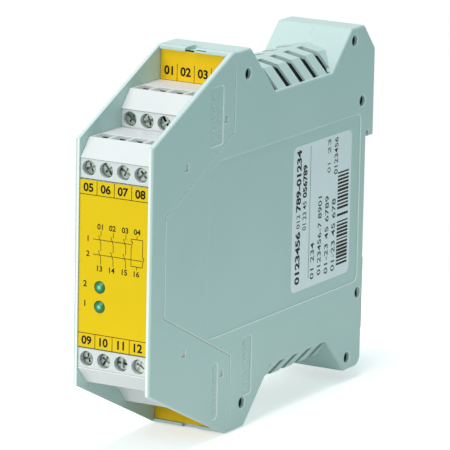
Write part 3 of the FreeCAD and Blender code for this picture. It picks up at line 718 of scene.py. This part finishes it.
labelPrint = {
    "numberHeight": 2.25 * mm, "stripDepth": 3.6 * mm, "captionAside": -8.1 * mm, "captionUp": 0.5 * mm,
    "captionHeight": 1.595 * mm,
}
markerPrint = {"numberHeight": 2.3625 * mm, "numberMiddle": 2.5 * mm, "tickDepth": 4.4 * mm}
signLook = {
    # contact diagram, in mm from the middle of the label
    "columns": (-3.95, -0.38, 3.25), "boxLeft": 5.1, "boxRight": 8.4, "boxTop": 8.0, "boxBottom": 1.1,
    "upperLink": 6.6, "lowerLink": 2.75, "linkStart": -5.9, "linkNumbers": -7.4,
    "topNumbers": 9.9, "bottomNumbers": -0.75, "numberHeight": 1.45 * mm, "numberGap": 1.0,
    "wireAside": 0.3, "bladeAside": 0.42, "bladeTop": 1.15, "bladeFoot": 0.9,  # open blade of a make contact
    "stopTop": 0.7, "stopReach": 0.5, "closedTop": 0.8, "closedReach": 0.4,  # closed blade on its stop
}


def addContactSign(shape):
    # three make contacts in pairs and one break pair, drawn as thin lines
    look = signLook

    def stroke(x0, z0, x1, z1):
        addStroke(shape, (x0 * mm, z0 * mm), (x1 * mm, z1 * mm), inkLook["thinLine"])

    def number(value, x, z):
        addNumber(shape, value, (x * mm, z * mm), look["numberHeight"], inkLook["smallWeight"])

    upper, lower, foot, gap = look["upperLink"], look["lowerLink"], look["bladeFoot"], look["numberGap"]
    stroke(look["linkStart"], upper, look["boxLeft"], upper)
    stroke(look["linkStart"], lower, look["boxRight"], lower)
    for column in look["columns"]:
        wire = column + look["wireAside"]
        stroke(wire, look["topNumbers"] - gap, wire, upper + foot)
        for link, end in ((upper, lower + gap), (lower, look["bottomNumbers"] + gap)):
            stroke(column - look["bladeAside"], link + look["bladeTop"], wire, link - foot)
            stroke(wire, link - foot, wire, end)
    left, right, top, bottom = look["boxLeft"], look["boxRight"], look["boxTop"], look["boxBottom"]
    centre = (left + right) / 2
    stroke(left, top, right, top)
    stroke(left, bottom, right, bottom)
    for x, link in ((left, upper), (right, lower)):
        stop = link + look["stopTop"]
        stroke(x, bottom, x, link - foot)
        stroke(x, link - foot, x + look["closedReach"], link + look["closedTop"])
        stroke(x, stop, x + look["stopReach"], stop)
        stroke(x, stop, x, top)
    stroke(centre, top, centre, look["topNumbers"] - gap)
    stroke(centre, bottom, centre, look["bottomNumbers"] + gap)
    for index, spot in enumerate(look["columns"] + (centre,)):
        number("%02d" % (index + 1), spot, look["topNumbers"])
        number("%02d" % (index + 13), spot, look["bottomNumbers"])
    number("1", look["linkNumbers"], upper)
    number("2", look["linkNumbers"], lower)


def addLabelPrint():
    low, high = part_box("front_label")
    shape = bmesh.new()
    strip, half = labelPrint["stripDepth"], inkLook["line"] / 2
    for level, outer, first in ((high.z - strip, high.z, 5), (low.z + strip, low.z, 9)):
        addBar(shape, (low.x, level - half), (high.x, level + half))
        addTicks(shape, min(level, outer), max(level, outer))
        numberRow(shape, first, labelPrint["numberHeight"], (level + outer) / 2)
    addContactSign(shape)
    for node, caption in (("upper_light_guide", "2"), ("lower_light_guide", "1")):
        lensLow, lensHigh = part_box(node)
        level = (lensLow.z + lensHigh.z) / 2 + labelPrint["captionUp"]
        addNumber(shape, caption, (labelPrint["captionAside"], level), labelPrint["captionHeight"],
                  inkLook["smallWeight"])
    addFlatPiece("labelPrint", shape, faceOf("front_label", "front"))


def addMarkerPrint(node, name, first):
    # numbers and ticks lie at the strip's edge next to the terminal block
    low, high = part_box(node)
    edge, side = (low.z, 1) if low.z > 0 else (high.z, -1)
    inner = edge + side * markerPrint["tickDepth"]
    shape = bmesh.new()
    addTicks(shape, min(edge, inner), max(edge, inner))
    numberRow(shape, first, markerPrint["numberHeight"], edge + side * markerPrint["numberMiddle"])
    addFlatPiece(name, shape, faceOf(node, "front"))


addLabelPrint()
addMarkerPrint("upper_marker", "upperMarkerPrint", 1)
addMarkerPrint("lower_marker", "lowerMarkerPrint", 13)
print("front printed")


# Rating label and raised numbers on the side

ratingPrint = {
    # lines of plain numbers, in mm: how far behind the front edge, start, end, height, and the numbers
    "boldLines": ((3.0, 1.9, 16.0, 2.5, "0123456"), (3.0, 21.4, 37.8, 2.5, "789-01234"),
                  (6.3, 24.6, 33.4, 2.2, "056789")),
    "plainLines": ((3.0, 16.9, 20.6, 1.7, "012"), (6.3, 15.9, 23.6, 1.9, "01 23 45"),
                   (11.0, 1.9, 11.7, 1.9, "01 234"), (14.7, 2.3, 23.4, 1.9, "0123456-7 8901"),
                   (18.5, 1.9, 22.9, 1.9, "01-23 45 6789"), (22.2, 1.9, 21.5, 1.9, "01-23 45 678"),
                   (22.9, 28.0, 37.9, 1.9, "0123456")),
    "paleLines": ((19.1, 29.0, 31.6, 1.6, "01"), (19.1, 34.2, 38.0, 1.6, "23")),
    "boldWeight": 0.035, "plainWeight": 0.005,
    "rule": (9.1, 2.6, 37.9), "ruleWidth": 0.16 * mm,
    "codeMiddle": 27.1, "codeHeight": 5.9 * mm, "codeStart": 3.3, "codeEnd": 29.6, "codeStep": 0.95 * mm,
    "codeThin": 0.28 * mm, "codeThick": 0.75 * mm, "codeGaps": 0.12, "codeSeed": 4,
}
embossing = {
    # raised numbers in the side marks, in mm: how far behind the front rim, start and end below the top
    # flat or, if negative, above the bottom flat, height, and the numbers
    "lines": ((29.5, 9.0, 21.5, 1.7, "0123456789"), (32.5, 13.0, 21.5, 1.7, "012 345"),
              (48.3, -9.4, -22.4, 2.0, "0123 4567"), (32.35, -6.4, -18.8, 1.3, "0123456789")),
    "rise": 0.12 * mm, "markDepth": 0.35 * mm,
}


def stripeTree():
    # upright stripes of two widths with gaps
    size = "NodeSocketFloat"
    tree, put = newTree("stripes", {
        "Count": ("NodeSocketInt", 10), "Step": (size, 0.5 * mm), "Height": (size, 6 * mm),
        "Thinnest": (size, 0.2 * mm), "Thickest": (size, 0.5 * mm), "Rise": (size, 0.02 * mm),
        "Gaps": (size, 0.2), "Seed": ("NodeSocketInt", 1), "Start": ("NodeSocketVector", (0, 0, 0)),
        "Material": ("NodeSocketMaterial", None)})
    start = Wire(tree)
    stepAlong = start.node("ShaderNodeCombineXYZ", {0: put["Step"]})
    points = start.node("GeometryNodeMeshLine", {"Count": put["Count"], "Start Location": put["Start"],
                                                 "Offset": stepAlong}, mode="OFFSET", count_mode="TOTAL")
    chance = start.node("FunctionNodeRandomValue", {2: 0.0, 3: 1.0, "Seed": put["Seed"]}, out=1,
                        data_type="FLOAT")
    blank = start.node("FunctionNodeCompare", {0: chance, 1: put["Gaps"]}, data_type="FLOAT",
                       operation="LESS_THAN")
    kept = start.node("GeometryNodeDeleteGeometry", {"Geometry": points, "Selection": blank}, domain="POINT")
    wide = start.node("FunctionNodeRandomValue", {2: put["Thinnest"], 3: put["Thickest"],
                                                  "Seed": put["Seed"] + 7.0}, out=1, data_type="FLOAT")
    unit = start.node("GeometryNodeMeshCube", {"Size": (1, 1, 1)})
    scale = start.node("ShaderNodeCombineXYZ", {0: wide, 1: put["Height"], 2: put["Rise"]})
    bars = start.node("GeometryNodeInstanceOnPoints", {"Points": kept, "Instance": unit, "Scale": scale})
    closeTree(tree, bars, put["Material"])
    return tree


def addLine(shape, words, spot, length, height, rise, weight):
    # plain numbers stretched to this length, rising by rise
    before = len(shape.verts)
    addNumber(shape, words, (0, 0), height, weight)
    shape.verts.ensure_lookup_table()
    made = shape.verts[before:]
    wide = max(vertex.co.x for vertex in made) - min(vertex.co.x for vertex in made)
    fit = (Matrix.Translation((spot[0] + length / 2, spot[1], 0))
           @ Matrix.Diagonal((length / wide, 1, rise / inkLook["rise"], 1)))
    bmesh.ops.transform(shape, matrix=fit, verts=made)


def addRatingPrint():
    low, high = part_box("rating_label")
    plane = faceOf("rating_label", "side")
    rise = inkLook["rise"]
    groups = {"ratingBoldLines": ("boldLines", "boldWeight", "ink"),
              "ratingPlainLines": ("plainLines", "plainWeight", "ink"),
              "ratingPaleLines": ("paleLines", "plainWeight", "paleInk")}
    for name, (group, weight, ink) in groups.items():
        shape = bmesh.new()
        for across, begin, end, height, words in ratingPrint[group]:
            addLine(shape, words, (low.z + begin * mm, -(low.y + across * mm)), (end - begin) * mm,
                    height * mm, rise, ratingPrint[weight])
        if group == "boldLines":
            across, begin, end = (value * mm for value in ratingPrint["rule"])
            level, half = -(low.y + across), ratingPrint["ruleWidth"] / 2
            addBar(shape, (low.z + begin, level - half), (low.z + end, level + half))
        addFlatPiece(name, shape, plane, ink)
    begin, end = ratingPrint["codeStart"] * mm, ratingPrint["codeEnd"] * mm
    code = grow("ratingCode", stripeTree(), {
        "Count": int((end - begin) / ratingPrint["codeStep"]), "Step": ratingPrint["codeStep"],
        "Height": ratingPrint["codeHeight"], "Thinnest": ratingPrint["codeThin"],
        "Thickest": ratingPrint["codeThick"], "Rise": rise, "Gaps": ratingPrint["codeGaps"],
        "Seed": ratingPrint["codeSeed"], "Material": materials["ink"],
        "Start": (low.z + begin, -(low.y + ratingPrint["codeMiddle"] * mm), rise / 2)})
    code.transform(plane)
    addPiece("ratingCode", code, "housing")


def addEmbossing():
    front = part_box("front_cover")[0].y
    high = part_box("front_cover")[1]
    shape = bmesh.new()
    for along, begin, end, height, words in embossing["lines"]:
        spots = [math.copysign(high.z - abs(value) * mm, value) for value in (begin, end)]
        addLine(shape, words, (min(spots), -(front + along * mm)), max(spots) - min(spots), height * mm,
                embossing["rise"], 0.0)
    plane = faceOf("rear_housing", "side") @ Matrix.Translation((0, 0, -embossing["markDepth"]))
    # the raised numbers are painted paler, as a highlight
    addFlatPiece("sideEmbossing", shape, plane, "raised_edge")


addRatingPrint()
addEmbossing()
print("side printed")


# Dark places: painted shade on the hole bottoms and over the unlit inside behind vents, wire entries and the tool
# notch, a painted shadow along the joint under each block's bevel, and the parting line

unlitLook = {
    "sheet": 0.04 * mm, "holeRadius": 1.46 * mm, "holeDepth": 0.95 * mm, "holeSides": 28,
    # holes as (from the front rim or, if negative, from the rail seat; below the top flat)
    "holes": ((46.4 * mm, 6.5 * mm), (-7.7 * mm, 6.5 * mm), (-2.6 * mm, 23.4 * mm)),
    # inside of the vent roof, as (from the middle, above the recess floor)
    "ventFrom": 61.1 * mm, "ventTo": 18.7 * mm, "ventFloor": 13.2 * mm, "ventSheet": 0.25 * mm,
    "ventProfile": ((9.7 * mm, -0.25 * mm), (6.1 * mm, 3.75 * mm), (0.0, 4.95 * mm)),
    "entryBack": 9.5 * mm, "entryTop": 7.0 * mm, "entryFrom": 0.8 * mm, "entryTo": 1.4 * mm,
    "entryLeft": -1.9 * mm, "entryRight": -0.1 * mm,
    "notchLeft": -2.4 * mm, "notchRight": 0.15 * mm, "notchTop": 0.55 * mm, "notchHeight": 0.4 * mm,
    "notchFront": 0.45 * mm,
}
browLook = {"edge": 2.4 * mm, "line": 0.12 * mm, "back": 0.2 * mm, "inset": 1.3 * mm}
partingLook = {"line": 0.1 * mm, "from": 0.8 * mm, "to": 3.6 * mm, "humpDrop": 3.0 * mm, "humpBack": 9.3 * mm}


def addHoleShade(shape):
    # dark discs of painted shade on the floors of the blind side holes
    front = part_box("front_cover")[0].y
    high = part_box("rear_housing")[1]
    for along, drop in unlitLook["holes"]:
        y = front + along if along > 0 else along
        for z in (high.z - drop, drop - high.z):
            for side in (1, -1):
                x = side * (high.x - unlitLook["holeDepth"] + unlitLook["sheet"] / 2)
                place = Matrix.Translation((x, y, z)) @ Matrix.Rotation(math.pi / 2, 4, "Y")
                bmesh.ops.create_cone(shape, cap_ends=True, segments=unlitLook["holeSides"],
                                      radius1=unlitLook["holeRadius"], radius2=unlitLook["holeRadius"],
                                      depth=unlitLook["sheet"], matrix=place)


def addVentShade(shape):
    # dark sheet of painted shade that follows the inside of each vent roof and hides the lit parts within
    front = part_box("front_cover")[0].y
    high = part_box("rear_housing")[1]
    floor = high.z - unlitLook["ventFloor"]
    half = list(unlitLook["ventProfile"])
    outline = half + [(-x, rise) for x, rise in reversed(half[:-1])]
    loop = outline + [(x, rise - unlitLook["ventSheet"]) for x, rise in reversed(outline)]
    for side in (1, -1):
        rings = []
        for y in (front + unlitLook["ventFrom"], -unlitLook["ventTo"]):
            rings.append([shape.verts.new((x, y, side * (floor + rise))) for x, rise in loop])
        count = len(loop)
        for index in range(count):
            after = (index + 1) % count
            shape.faces.new((rings[0][index], rings[0][after], rings[1][after], rings[1][index]))
        shape.faces.new(rings[0])
        shape.faces.new(rings[1])


def blockAxis(row):
    # height of a row's screws, and 1 for rows above the label or -1 below it
    axis = screwAxis(1 + 4 * list(slotTurns).index(row)).z
    return axis, math.copysign(1, axis)


def addEntryShade(shape):
    # painted shade: a dark sheet on the funnel's rear wall, standing for the wire entry behind it
    for row in slotTurns:
        axis, side = blockAxis(row)
        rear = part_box(row + "_block")[0].y + unlitLook["entryBack"]
        levels = [axis + side * (unlitLook["entryTop"] - unlitLook[depth]) for depth in ("entryFrom", "entryTo")]
        for spot in poleSpots:
            addSheet(shape, (spot + unlitLook["entryLeft"], min(levels)),
                     (spot + unlitLook["entryRight"], max(levels)), rear)


def addNotchShade(shape):
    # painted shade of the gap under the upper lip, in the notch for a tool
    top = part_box("front_cover")[1].z - unlitLook["notchTop"]
    addSheet(shape, (unlitLook["notchLeft"], top - unlitLook["notchHeight"]), (unlitLook["notchRight"], top),
             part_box("upper_marker")[0].y - unlitLook["notchFront"])


def addBrowGapShadows(shape):
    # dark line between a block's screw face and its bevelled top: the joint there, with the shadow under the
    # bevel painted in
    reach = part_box("front_cover")[1].x - browLook["inset"]
    half = browLook["line"] / 2
    for row in slotTurns:
        axis, side = blockAxis(row)
        edge = axis + side * browLook["edge"]
        addSheet(shape, (-reach, edge - half), (reach, edge + half),
                 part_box(row + "_block")[0].y + browLook["back"])


def addPartingLine(shape):
    # short line on the hump's front slope, which leans back by 45 degrees
    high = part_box("rear_housing")[1]
    slant = math.sqrt(0.5)
    plane = Matrix(((1, 0, 0, 0), (0, slant, -slant, -partingLook["humpBack"]),
                    (0, slant, slant, high.z - partingLook["humpDrop"]), (0, 0, 0, 1)))
    half = partingLook["line"] / 2
    made = addBar(shape, (-half, -partingLook["to"]), (half, -partingLook["from"]))
    bmesh.ops.transform(shape, matrix=plane, verts=made)


def addDarkPlaces():
    groups = {"unlitPlaces": ("hole_dark", (addHoleShade, addVentShade, addEntryShade, addNotchShade)),
              "browGapShadows": ("gap_shade", (addBrowGapShadows,)), "partingLine": ("seam_shade", (addPartingLine,))}
    for name, (material, makers) in groups.items():
        shape = bmesh.new()
        for maker in makers:
            maker(shape)
        bmesh.ops.recalc_face_normals(shape, faces=shape.faces)
        addFlatPiece(name, shape, Matrix.Identity(4), material)
    print("dark places:", len(groups))


addDarkPlaces()


# Floor, light and camera

studio = {
    "floorRadius": 0.17, "floorSides": 96, "floorGap": 0.3 * mm, "floorColour": (0.92, 0.92, 0.90),
    "floorLift": 0.5, "fill": (0.29, 0.44, 0.44),
    "keyColour": (1.0, 0.90, 0.90), "keyPower": 4.1, "keySize": 0.55, "keyDistance": 0.95,
    "keyAzimuth": -10.0, "keyElevation": 16.0,
    "topColour": (1.0, 0.82, 0.85), "topPower": 3.75, "topSize": 0.4, "topDistance": 0.8,
    "topAzimuth": 0.0, "topElevation": 75.0,
}
view = {"azimuth": 29.83, "elevation": 12.76, "roll": 1.17, "distance": 1.18632,
        "lens": 367.9, "sensor": 36.0, "nearest": 0.05, "farthest": 20.0,
        "aim": (-0.75 * mm, -53.60 * mm, 0.28 * mm)}


def seenRays(start):
    # 1 for rays that should find the pale surroundings: straight from the camera, in gloss and through glass
    rays = start.node("ShaderNodeLightPath", out="Is Camera Ray")
    every = rays + rays.other("Is Glossy Ray") + rays.other("Is Transmission Ray")
    return rays.node("ShaderNodeMath", {0: every, 1: 1.0}, operation="MINIMUM")


def addFloor():
    low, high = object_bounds()
    shape = bmesh.new()
    bmesh.ops.create_circle(shape, cap_ends=True, segments=studio["floorSides"], radius=studio["floorRadius"])
    bmesh.ops.translate(shape, verts=shape.verts,
                        vec=((low.x + high.x) / 2, (low.y + high.y) / 2, low.z - studio["floorGap"]))
    mesh = bpy.data.meshes.new("floor")
    shape.to_mesh(mesh)
    shape.free()
    floor = bpy.data.objects.new("floor", mesh)
    bpy.context.scene.collection.objects.link(floor)
    material = bpy.data.materials.new("paleFloor")
    material.use_nodes = True
    tree = material.node_tree
    tree.nodes.clear()
    start = Wire(tree)
    seen = seenRays(start)
    matt = start.node("ShaderNodeBsdfDiffuse", {"Color": rgba(studio["floorColour"])})
    lift = start.node("ShaderNodeEmission", {"Color": (1, 1, 1, 1), "Strength": seen * studio["floorLift"]})
    both = start.node("ShaderNodeAddShader", {0: matt, 1: lift})
    output = tree.nodes.new("ShaderNodeOutputMaterial")
    tree.links.new(both.socket, output.inputs[0])
    mesh.materials.append(material)


def addWorld():
    world = bpy.data.worlds.new("studio")
    bpy.context.scene.world = world
    world.use_nodes = True
    tree = world.node_tree
    tree.nodes.clear()
    start = Wire(tree)
    seen = seenRays(start)
    dim = start.node("ShaderNodeBackground", {"Color": rgba(studio["fill"]), "Strength": 1.0})
    white = start.node("ShaderNodeBackground", {"Color": (1, 1, 1, 1), "Strength": 1.0})
    mixed = start.node("ShaderNodeMixShader", {0: seen, 1: dim, 2: white})
    output = tree.nodes.new("ShaderNodeOutputWorld")
    tree.links.new(mixed.socket, output.inputs[0])


def directionAt(azimuth, elevation):
    across, up = math.radians(azimuth), math.radians(elevation)
    return Vector((math.sin(across) * math.cos(up), -math.cos(across) * math.cos(up), math.sin(up)))


def addLight(name):
    # round soft light, aimed at the middle of the view
    lamp = bpy.data.lights.new(name + "Light", "AREA")
    lamp.shape = "DISK"
    lamp.size = studio[name + "Size"]
    lamp.energy = studio[name + "Power"]
    lamp.color = studio[name + "Colour"]
    light = bpy.data.objects.new(name + "Light", lamp)
    bpy.context.scene.collection.objects.link(light)
    out = directionAt(studio[name + "Azimuth"], studio[name + "Elevation"])
    light.location = Vector(view["aim"]) + out * studio[name + "Distance"]
    light.rotation_euler = out.to_track_quat("Z", "Y").to_euler()


def addCamera():
    data = bpy.data.cameras.new("camera")
    data.lens = view["lens"]
    data.sensor_width = view["sensor"]
    data.clip_start, data.clip_end = view["nearest"], view["farthest"]
    camera = bpy.data.objects.new("camera", data)
    bpy.context.scene.collection.objects.link(camera)
    turn = (Matrix.Rotation(math.radians(view["azimuth"]), 3, "Z")
            @ Matrix.Rotation(math.radians(90.0 - view["elevation"]), 3, "X")
            @ Matrix.Rotation(math.radians(view["roll"]), 3, "Z"))
    camera.rotation_euler = turn.to_euler()
    camera.location = Vector(view["aim"]) + directionAt(view["azimuth"], view["elevation"]) * view["distance"]
    bpy.context.scene.camera = camera


addFloor()
addWorld()
addLight("key")
addLight("top")
addCamera()
bpy.context.scene.view_settings.view_transform = "Standard"
print("studio done")
